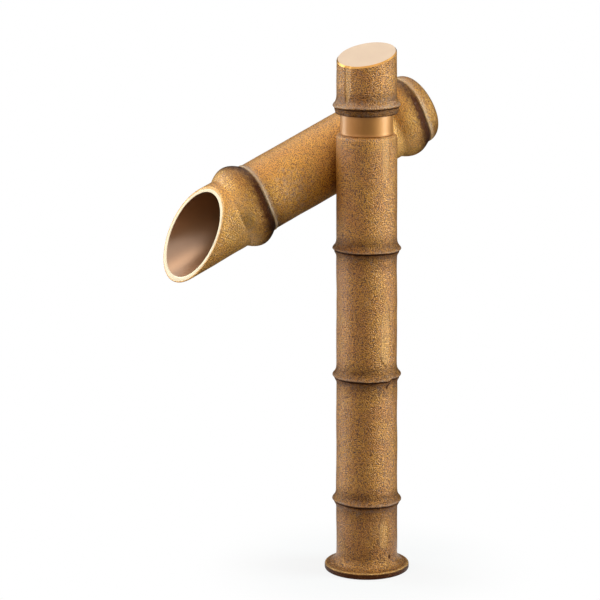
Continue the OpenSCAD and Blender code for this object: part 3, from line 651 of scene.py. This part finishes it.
def tube_section(rise, behind):
    """How far a spout node stands out by the distance in front of its groove: what lies behind the bead,
    the bead, the groove, then a full swelling rise * sin(pi t)^0.9."""
    swelling = [(t * SPOUT_NODE_LEN, rise * math.sin(math.pi * t) ** 0.9) for t in np.linspace(0.06, 1, 20)]
    bead = [(-1.3, BEAD_H), (-0.7, BEAD_H), (-0.2, 0.02), (0.15, -0.15), (0.5, 0.5)]
    return soft_curve(behind + bead + swelling, 0.16)


rear_section = tube_section(REAR_RISE, [(-12, BEAD_H), (-1.8, BEAD_H)])
front_section = tube_section(FRONT_RISE, [(-2.6, 0), (-1.8, 0.2)])


def past_grooves(phi, s):
    """How far s lies in front of the rear and of the front node's groove, at turn phi. Both rings bow
    forward on their +X side, by a bell of the turn, the rear one less."""
    askew = 2.2 * bump(turn_from(phi, 0), 0.65)
    return s - REAR_GROOVE - 0.8 * askew, s - FRONT_GROOVE - askew


def spout_outer(phi, s):
    """Radius of the spout's outside at turn phi and distance s: tube, flare towards the mouth, two nodes
    and waviness. The hollow in front of the front swelling is filled on the side towards +X."""
    flare = np.clip((s - FRONT_NODE_END) / MOUTH_FLARE_LEN, 0, 1)
    calm = 0.35 + 0.65 * (1 - smoothstep(FRONT_NODE_END - 2, FRONT_NODE_END + 4, s))
    wave = unevenness(phi, s, 11, 0.06) * calm * smoothstep(REAR_GROOVE - 1, REAR_GROOVE + 6, s)
    filled = 1.2 * bump(s - FRONT_NODE_END - 2, 6) * bump(turn_from(phi, -0.1), 0.9)
    rear, front = past_grooves(phi, s)
    return SPOUT_R + MOUTH_FLARE * flare + wave + filled + rear_section(rear) + front_section(front)


def mouth_s(phi, radius):
    """Distance s at which the slanted cut meets a circle of that radius, at turn phi."""
    return MOUTH_S - math.tan(math.radians(MOUTH_CUT)) * radius * np.sin(phi + math.radians(MOUTH_TURN))


def cut_row(phi, radius):
    """Row in which the slanted cut meets that radius, one number or one per column."""
    return ring_row(radius, mouth_s(phi, radius))


def broken_edge(before, corner, after):
    """Rows of a rounded edge: the curve (1-t)^2 before + 2t(1-t) corner + t^2 after."""
    t = np.linspace(0, 1, 7)[:, None, None]
    return (1 - t) ** 2 * before + 2 * t * (1 - t) * corner + t**2 * after


def spout_surface():
    """Closed surface round the spout's axis: rear pole, rounded rear end, tube with two nodes, slanted rim
    with broken edges, then back through the bore to the pole inside the rear wall. Rows are (radius, s)
    against phi."""
    phi = turns(COLS)
    flat_end = [(r, -REAR_S) for r in (0.0, 3.0, 6.0, 9.0, 12.0)]
    rear_round = arc(SPOUT_R + BEAD_H - REAR_CORNER, REAR_CORNER - REAR_S, REAR_CORNER, -90, -6, 14)
    tube = stations(
        (REAR_CORNER - REAR_S + 0.2, REAR_GROOVE + 2.8, 0.2), (REAR_GROOVE + 2.8, REAR_GROOVE + 19, 0.8),
        (REAR_GROOVE + 19, FRONT_GROOVE - 3.8, 2.2), (FRONT_GROOVE - 3.8, FRONT_GROOVE + 3.4, 0.2),
        (FRONT_GROOVE + 3.4, FRONT_GROOVE + 20.5, 0.7),
    )
    rows = [ring_row(r, s) for r, s in [*flat_end, *rear_round]]
    rows += [ring_row(spout_outer(phi, s), s) for s in tube]
    rim = mouth_s(phi, SPOUT_R)
    for t in np.linspace(0, 1, 26)[1:]:
        s = tube[-1] + t * (rim - RIM_BREAK - tube[-1])
        rows.append(ring_row(spout_outer(phi, s), s))
    edge_r = spout_outer(phi, rim - RIM_BREAK)
    bore_in = ring_row(BORE_R, mouth_s(phi, BORE_R) - BORE_BREAK)
    rows += list(broken_edge(rows[-1], cut_row(phi, edge_r), cut_row(phi, edge_r - RIM_BREAK))[1:])
    rows += list(broken_edge(cut_row(phi, BORE_R + BORE_BREAK), cut_row(phi, BORE_R), bore_in))
    end, corner = REAR_WALL - REAR_S, REAR_CORNER - REAR_WALL
    for t in np.linspace(0, 1, 50)[1:]:
        rows.append(ring_row(BORE_R, bore_in[:, 1] + t**1.2 * (end + corner - bore_in[:, 1])))
    bore_round = arc(BORE_R - corner, end + corner, corner, -10, -90, 7)
    rows += [ring_row(r, s) for r, s in [*bore_round, (7.0, end), (0.0, end)]]
    radius, along = np.moveaxis(np.array(rows), -1, 0)
    local = np.stack([radius * np.cos(phi), radius * np.sin(phi), along], -1)
    return lay_surface("spout_casting", local @ SPOUT_AXES + SPOUT_AT)


# Soot with painted shade, and haze with a painted highlight on the bead, beside the spout's rear and front
# node by the distance in front of its groove
rear_soot_shade = soft_curve([
    (-10, 0.3), (-7, 0.55), (-4, 0.6), (-2.3, 0.35), (-1.3, 0), (-0.5, 0.35), (0, 0.95), (3, 1), (5, 0.85),
    (7, 0.68), (9, 0.45), (12, 0.15), (15, 0),
], 0.25)
front_soot_shade = soft_curve([
    (-1.1, 0), (-0.5, 0.4), (0, 0.95), (1, 1), (3, 0.98), (4.5, 0.9), (6.5, 0.78), (8.5, 0.64), (11, 0.46),
    (14, 0.26), (17, 0.1), (20, 0),
], 0.25)
rear_bloom_highlight = soft_curve([(-7, 0), (-5, 0.05), (-3, 0.15), (-1.3, 0.6), (-0.5, 0.5), (0.2, 0), (8, 0)], 0.3)
front_bloom_highlight = soft_curve([(-5, 0), (-3, 0.15), (-2, 0.4), (-1.1, 0.85), (-0.5, 0.7), (0.1, 0), (8, 0)], 0.3)
bead_highlight = soft_curve([(-1.5, 0), (-1.1, 0.3), (-0.6, 0.3), (-0.2, 0)], 0.12)
# Behind the front node, painted shade on the underside; in front of both nodes, painted light that makes
# the underside pale and bright
behind_node_shade = soft_curve([
    (-14, 0), (-9, 0.15), (-6, 0.3), (-4, 0.5), (-2.2, 0.6), (-1.4, 0.2), (-1, 0),
], 0.25)
flank_light = soft_curve([(9, 0), (13, 0.6), (17, 1), (21, 0.9), (26, 0.4), (33, 0)], 0.8)


def below_cut(phi, r, s):
    """How far a place of the spout lies under the plane of its slanted mouth, in mm."""
    return (mouth_s(phi, r) - s) * math.cos(math.radians(MOUTH_CUT))


def paint_spout(mesh):
    """Soot with painted shade beside both grooves, darker on the underside; painted shade on the underside
    behind the front node, along the top of its swelling and in the corner with the pillar; haze beside the
    beads with a painted highlight on them, and painted light on the underside; painted highlight on the
    beads, painted light on the underside in front of both nodes, and rub on the rim."""
    places = corners(mesh)
    phi, r, s = about_spout(places)
    outside = (r > BORE_R + 0.2) | (s < 1 - REAR_S)
    below = 1 - smoothstep(0.8, 1.8, np.abs(turn_from(phi, -0.6)))
    on_top = bump(turn_from(phi, 2.0), 0.5)
    rear, front = past_grooves(phi, s)
    # painted shade where the spout meets the pillar
    corner_shade = bump(np.hypot(*places.T[:2]) - PILLAR_R, 4) * smoothstep(6, 12, s)
    # painted shade: darker on the underside, behind the front node and along the top of the front swelling
    soot_and_painted_shade = (0.85 + 0.2 * below) * (rear_soot_shade(rear) + front_soot_shade(front))
    soot_and_painted_shade = soot_and_painted_shade + (0.25 + 0.75 * below) * behind_node_shade(front)
    soot_and_painted_shade = soot_and_painted_shade + 0.5 * on_top * bump(front - 7, 6) + 0.6 * corner_shade
    # painted light on the underside
    underside_light = 0.14 * smoothstep(68, FRONT_NODE_END, s) + 0.2 * bump(s - 46, 12) + 0.1 * bump(s + 35, 6)
    rim = (s > 60) * (1 - smoothstep(0.1, 0.5, below_cut(phi, r, s)))
    # painted light on the underside in front of both nodes, and a painted highlight on each bead
    underside_flank_light = below * (flank_light(rear) + flank_light(front))
    rub_and_painted_light = bead_highlight(rear) + bead_highlight(front) + 0.28 * underside_flank_light + 0.35 * rim
    paint(mesh, "soot_and_painted_shade", outside * soot_and_painted_shade)
    paint(mesh, "haze", outside * (rear_bloom_highlight(rear) + front_bloom_highlight(front) + below * underside_light))
    paint(mesh, "rub_and_painted_light", outside * rub_and_painted_light)


def spout_faces(mesh):
    """Number of each face's finish: 2 in the bore, 1 on the flat of the slanted rim, else 0."""
    phi, r, s = about_spout(middles(mesh))
    in_bore = (r < BORE_R + 0.05) & (s > 1 - REAR_S)
    on_rim = (below_cut(phi, r, s) < 0.1) & (s > 60) & (r < 20.5)
    return np.select([in_bore, on_rim], [2, 1], 0)


# The pillar's stem is cut out of the spout, along a rod that is longer than the saddle
pillar_rod = rod_points((0, 0, 200), (0, 0, 1), PILLAR_R - SADDLE_SINK, 90, COLS)
spout_mesh = cut(spout_surface(), pillar_rod)
paint_spout(spout_mesh)
finish_faces(spout_mesh, [spout_bronze, bright_rim, satin_bore], spout_faces(spout_mesh))
place("spout_casting", spout_mesh, "root", ["spout"])

# Handle

HANDLE_CHANNEL = (293.0, HANDLE_CREST + 0.5, HANDLE_CREST + 60, 1.6)  # as CHANNELS gives the pillar's
CHAMFER_H, CHAMFER_W = 0.85, 0.7225  # filed chamfer round the slanted top
# How far the handle's node stands out by the distance above its crest, from the skirt's lower edge up
handle_section = soft_curve([
    (-4.8, 0.5), (-4.4, 0.75), (-3.2, 0.95), (-2.3, 1.25), (-1.7, 1.35), (-1.35, 1.15), (-1.0, 1.3),
    (-0.6, 1.95), (-0.15, 2.28), (0.25, 2.3), (0.8, 2.05), (1.5, 1.45), (2.4, 0.82), (3.6, 0.35), (5, 0.1),
    (6.5, 0),
])


def top_z(theta, radius):
    """Height of the handle's slanted top: the plane rises by tan(slope) towards its high side."""
    slope = math.tan(math.radians(TOP_SLOPE))
    return HANDLE_Z + HANDLE_H + slope * radius * np.cos(theta - math.radians(TOP_HIGH))


def handle_wave(theta):
    """Wave of the handle's crest, calmer than the pillar's."""
    return node_wave(theta, 31) * 0.7


def handle_outer(theta, z):
    """Radius of the handle's outside: stem, node with a wavy crest, channel and unevenness."""
    gap = z - HANDLE_CREST
    section = handle_section(gap - handle_wave(theta) * bump(gap, 4))
    radius = HANDLE_R + section + unevenness(theta, z, 41, 0.05) * smoothstep(1, 6, z - HANDLE_Z)
    return radius - 0.25 * channel(theta, z, *HANDLE_CHANNEL, HANDLE_R)[0]


def handle_surface():
    """Closed surface turned about +Z: from the insert's bore out under the boss, round the hollow, down the
    skirt, up the outside, over the chamfered rim and across the slanted top to its pole. Rows above the
    node lean with the top."""
    theta = turns(COLS)
    under = [
        (0.0, INSERT_TOP), (INSERT_R, INSERT_TOP), (INSERT_R, BOSS_Z), (BOSS_R, BOSS_Z),
        (BOSS_R, HOLLOW_TOP), (HOLLOW_R, HOLLOW_TOP), (HOLLOW_R, SKIRT_TOP), (SKIRT_R, SKIRT_TOP),
        (SKIRT_R, HANDLE_Z),
    ]
    flank_end = HANDLE_CREST + 6.5
    node_rows = stations(
        (HANDLE_Z + 0.25, HANDLE_CREST - 2.4, 0.3), (HANDLE_CREST - 2.4, HANDLE_CREST + 1.2, 0.18),
        (HANDLE_CREST + 1.2, flank_end, 0.4),
    )
    rows = [ring_row(r, z) for r, z in under]
    rows.append(ring_row(handle_outer(theta, HANDLE_Z + 0.3) - 0.35, HANDLE_Z))
    rows += [ring_row(handle_outer(theta, z), z) for z in node_rows]
    rim = top_z(theta, HANDLE_R) - CHAMFER_H
    for t in np.linspace(0, 1, 30)[1:]:
        z = flank_end + t * (rim - flank_end)
        rows.append(ring_row(handle_outer(theta, z), z))
    edge_r = handle_outer(theta, rim) - CHAMFER_W
    for share in (1.0, 0.94, 0.8, 0.6, 0.4, 0.2, 0.0):
        rows.append(ring_row(edge_r * share, top_z(theta, edge_r * share)))
    rows = np.array(rows)
    return lay_surface("handle_casting", turned_points(rows[..., 0], rows[..., 1], theta[None]))


# Soot with painted shade on the lower flank and in the crease, and haze with a painted highlight on the
# crest, of the handle by the distance above its node's crest
flank_soot_shade = soft_curve([
    (-5.2, 0.95), (-4.6, 0.8), (-2.4, 0.6), (-1.5, 0.8), (-1.1, 1), (-0.6, 1), (-0.3, 0.4), (0.1, 0.25),
    (1, 0.3), (2.2, 0.42), (4, 0.56), (6, 0.5), (9, 0.24), (14, 0),
], 0.2)
flank_bloom_highlight = soft_curve([
    (-5, 0.1), (-2.4, 0.1), (-1.2, 0), (0, 0.1), (0.6, 0.35), (2, 0.2), (4, 0.12), (9, 0.05), (14, 0),
], 0.3)


def paint_handle(mesh):
    """Soot with painted shade on the lower flank, in the crease and on the channel's border, haze with a
    painted highlight on the crest, and rub in the channel.
    """
    theta, r, z = about_pillar(corners(mesh))
    outside = r > SKIRT_R + 0.2
    gap = z - HANDLE_CREST - handle_wave(theta)
    strip, border = channel(theta, z, *HANDLE_CHANNEL, HANDLE_R)
    # painted shade on the lower flank, in the crease and along the channel's border; painted highlight on
    # the crest
    paint(mesh, "soot_and_painted_shade", outside * (flank_soot_shade(gap) + 0.5 * border))
    paint(mesh, "haze", outside * flank_bloom_highlight(gap))
    paint(mesh, "rub_and_painted_light", outside * 0.25 * strip)


def handle_faces(mesh):
    """Number of each face's finish: 1 on the slanted top, 2 on its chamfer, 3 in the hollow, else 0."""
    theta, r, z = about_pillar(middles(mesh))
    fall = top_z(theta, r) - z
    on_chamfer = (fall < CHAMFER_H) & (r > 15.5) & (z > 300)
    return np.select([fall < 0.02, on_chamfer, r < SKIRT_R - 0.1], [1, 2, 3], 0)


# The set screw's boss joins the insert's boss to the wall, and its hole goes through both
screw_boss = rod_points((0, 8.6, SCREW_Z), (0, 1, 0), SCREW_BOSS_R, 6.6)
screw_hole = rod_points((0, 5, SCREW_Z), (0, 1, 0), SCREW_HOLE_R, 16)
handle_mesh = cut(cut(handle_surface(), screw_boss, "UNION"), screw_hole)
paint_handle(handle_mesh)
handle_finishes = [pillar_bronze, milled_bronze, bright_edge, lathe_brass]
finish_faces(handle_mesh, handle_finishes, handle_faces(handle_mesh))
place("handle_casting", handle_mesh, "handle", ["handle"], creased=30)

# Neck ring


def neck_ring_surface():
    """Closed sleeve turned about +Z: a small foot bead on the pillar, a straight buffed side with its edges
    rounded, then down the bore and in to the lip that the headpart clamps."""
    bead, fillet, edge = 0.32, 0.3, 0.4
    bore_r, lip_z = RING_R - RING_WALL, PILLAR_TOP + RING_LIP_T
    outline = np.vstack([
        [[RING_R - 0.1, PILLAR_TOP]],
        arc(RING_R - 0.12, PILLAR_TOP + bead + 0.02, bead, -60, 60, 6),
        arc(RING_R + fillet, PILLAR_TOP + 1, fillet, 250, 180, 5),
        [[RING_R, PILLAR_TOP + 3], [RING_R, PILLAR_TOP + 8]],
        arc(RING_R - edge, RING_TOP - edge, edge, 0, 90, 5),
        [[bore_r, RING_TOP], [bore_r, lip_z], [RING_LIP_R, lip_z], [RING_LIP_R, PILLAR_TOP]],
    ])
    points = turned_points(outline[:, :1], outline[:, 1:], turns(192)[None])
    return lay_surface("neck_sleeve", points, ring=True)


ring_mesh = neck_ring_surface()
finish_faces(ring_mesh, [buffed_brass], np.zeros(len(ring_mesh.polygons)))
place("neck_sleeve", ring_mesh, "root", ["neck_ring"])

# Threaded tail


def tail_surface():
    """Closed tube turned about +Z with a real thread: its radius falls from the major one by the thread's
    depth times a flattened triangle of the phase (z / pitch - theta / turn), which makes a right-hand
    helix. It is plain in the groove, and the thread runs out over the last millimetre at both ends."""
    flat, end_depth, groove_depth, groove_edge = 0.12, 0.9, 1.3, 0.25
    theta = turns(96)[None]
    z = stations((TAIL_END, TAIL_TOP, 0.19))[:, None]
    phase = (z / THREAD_PITCH - theta / TAU) % 1
    flank = np.clip(np.abs(phase - 0.5) * 2 * (1 + 2 * flat) - flat, 0, 1)
    full = np.clip(z - TAIL_END, 0, 1) * np.clip(TAIL_TOP - z, 0, 1)
    radius = THREAD_R - THREAD_DEPTH * flank - (1 - full) * end_depth
    low, high = TAIL_GROOVE
    in_groove = smoothstep(low - groove_edge, low, z) * (1 - smoothstep(high, high + groove_edge, z))
    radius = radius * (1 - in_groove) + (THREAD_R - groove_depth) * in_groove
    bore = turned_points(TAIL_BORE_R, np.array([TAIL_TOP, 0, TAIL_END])[:, None], theta)
    return lay_surface("tail_thread", np.concatenate([turned_points(radius, z, theta), bore]), ring=True)


tail_mesh = tail_surface()
finish_faces(tail_mesh, [lathe_brass], np.zeros(len(tail_mesh.polygons)))
place("tail_thread", tail_mesh, "root", ["threaded_tail"])

# CAD nodes that stay as they are
for finish, names in (
    (lathe_brass, ("headpart_body", "lock_nut", "handle_insert", "spindle")),
    (stainless, ("metal_washer", "handle_set_screw", "spindle_circlip")),
    (black_rubber, ("seat_seal", "base_gasket", "rubber_washer", "spindle_o_rings")),
    (red_fibre, ("headpart_gasket", "tail_seal")),
    (white_ceramic, ("fixed_disc", "moving_disc")),
    (white_acetal, ("thrust_washer",)),
):
    for name in names:
        nodes[name].data.materials.clear()
        nodes[name].data.materials.append(finish)

# Camera: a long lens 1.7 m away, looking down by 12.8 degrees at the tap's middle

FACING = math.radians(63.775)  # how far round from the spout's direction, towards +X
PITCH = math.radians(12.7565)
ROLL = math.radians(-0.2986)
TARGET = Vector((-17.51, -35.55, 166.45)) * MM
DISTANCE = 1.71256
LENS_PX, PICTURE_PX, SENSOR_MM = 2882.81, 600, 36

to_camera = Vector(
    (math.sin(FACING) * math.cos(PITCH), -math.cos(FACING) * math.cos(PITCH), math.sin(PITCH))
)
level_right = Vector((math.cos(FACING), math.sin(FACING), 0))
level_up = to_camera.cross(level_right)
right = level_right * math.cos(ROLL) + level_up * math.sin(ROLL)
turned = Matrix((right, to_camera.cross(right), to_camera)).transposed().to_4x4()
camera = bpy.data.objects.new("camera", bpy.data.cameras.new("camera"))
bpy.context.scene.collection.objects.link(camera)
camera.matrix_world = Matrix.Translation(TARGET + to_camera * DISTANCE) @ turned
camera.data.sensor_width = SENSOR_MM
camera.data.lens = LENS_PX * SENSOR_MM / PICTURE_PX
camera.data.clip_end = 50
bpy.context.scene.camera = camera

# Studio


def seen_directly(tree):
    """1 on rays from the camera, from a reflection or through glass, which see the studio; 0 on rays that
    only light."""
    path = node(tree, "LightPath").outputs
    seen = node(tree, "Math", {0: path["Is Camera Ray"], 1: path["Is Glossy Ray"]}, operation="MAXIMUM")
    through = {0: seen.outputs[0], 1: path["Is Transmission Ray"]}
    return node(tree, "Math", through, operation="MAXIMUM").outputs[0]


def white_sweep():
    """White paint, matt: near the foot it keeps the tap's shadow, and from 30 to 110 mm out it fades into
    plain white where it is seen."""
    made, tree, shader, place_at = material("matt_white_sweep")
    wire(tree, shader, {"Roughness": 0.9, "Base Color": "#F4F4F3"})
    far = node(tree, "VectorMath", {0: place_at}, operation="LENGTH")
    fade = node(
        tree, "MapRange",
        {"Value": far.outputs["Value"], "From Min": 0.03, "From Max": 0.11, "To Min": 0.85},
        interpolation_type="SMOOTHSTEP",
    )
    share = node(tree, "Math", {0: fade.outputs["Result"], 1: seen_directly(tree)}, operation="MULTIPLY")
    glow = node(tree, "Emission", {"Color": "#FFFFFF", "Strength": 1.0})
    blend = node(tree, "MixShader", {0: share.outputs[0], 1: shader.outputs[0], 2: glow.outputs[0]})
    wire(tree, tree.nodes["Material Output"], {"Surface": blend.outputs[0]})
    return made


def stage_sheet(name, points, finish):
    """Flat or curved stage card over a grid of points in mm."""
    rows, cols = points.shape[:2]
    index = np.arange(rows * cols).reshape(rows, cols)
    faces = np.stack([index[:-1, :-1], index[:-1, 1:], index[1:, 1:], index[1:, :-1]], -1).reshape(-1, 4)
    mesh = bpy.data.meshes.new(name)
    mesh.from_pydata(points.reshape(-1, 3) * MM, [], faces)
    mesh.materials.append(finish)
    card = bpy.data.objects.new(name, mesh)
    bpy.context.scene.collection.objects.link(card)
    return card


FLOOR_HALF, FLOOR_Z = 8000.0, -0.02  # half its side, and its height just under the foot
floor_side = np.array([-FLOOR_HALF, FLOOR_HALF])
floor_points = np.stack([*np.meshgrid(floor_side, floor_side), np.full((2, 2), FLOOR_Z)], -1)
stage_sheet("floor", floor_points, white_sweep())

# Black wool felt: it swallows nearly all light
black_felt = dull_solid("black_felt", ("#1A1714", "#231F1B"), roughness=0.95, grain_mm=3.0, depth=0.5)


def flag(name, start, end, top):
    """Black card seen by the metal only: it lies on the floor between two bearings, in degrees to the right
    of the camera, and stands up at its far edge to height top. run is its distance from the pillar and its
    height."""
    turn = np.radians(np.linspace(start, end, 18) - 90 + math.degrees(FACING))[None]
    run = np.array([[60, 1], [300, 1], [700, 1], [900, 40], [980, 0.3 * top], [1000, top]], float)
    points = np.stack([run[:, :1] * np.cos(turn), run[:, :1] * np.sin(turn), run[:, 1:] + 0 * turn], -1)
    card = stage_sheet(name, points, black_felt)
    card.visible_camera = card.visible_diffuse = card.visible_shadow = card.visible_transmission = False


# One flag in front darkens the metal's middle, and one behind draws its edges
flag("front_flag", start=-70, end=42, top=230)
flag("back_flag", start=120, end=226, top=650)


TAP_MIDDLE = Vector((-0.015, -0.03, 0.17))  # in m


def soft_box(name, bearing, size, power, colour="#FFFFFF", distance=1.1, height=0.5):
    """Area lamp of size (wide, high) in m, bearing degrees to the right of the camera, aimed at the tap."""
    lamp = bpy.data.objects.new(name, bpy.data.lights.new(name, "AREA"))
    bpy.context.scene.collection.objects.link(lamp)
    lamp.data.shape = "RECTANGLE"
    lamp.data.size, lamp.data.size_y = size
    lamp.data.energy = power
    lamp.data.color = linear(colour)[:3]
    turn = math.radians(bearing - 90) + FACING
    lamp.location = (distance * math.cos(turn), distance * math.sin(turn), height)
    aim = TAP_MIDDLE - lamp.location
    lamp.rotation_euler = aim.to_track_quat("-Z", "Y").to_euler()


soft_box("right_box", bearing=83, size=(0.55, 1.3), power=16.5, colour="#E4FAFF")
soft_box("left_box", bearing=-116, size=(0.5, 1.3), power=8, colour="#E0F8FF")
soft_box("left_fill", bearing=-54, size=(0.7, 1.3), power=3.4)
soft_box("top_box", bearing=0, size=(1.0, 1.0), power=4.2, colour="#FFEBCB", distance=0.01, height=1.5)

# World: white where it is seen, and a weak fill otherwise
world = bpy.data.worlds.new("studio")
bpy.context.scene.world = world
world.use_nodes = True
tree = world.node_tree
tree.nodes.clear()
level = node(tree, "MapRange", {"Value": seen_directly(tree), "To Min": 0.1})
sky = node(tree, "Background", {"Color": "#FFFFFF", "Strength": level.outputs["Result"]})
node(tree, "OutputWorld", {"Surface": sky.outputs[0]})

bpy.context.scene.view_settings.view_transform = "Standard"
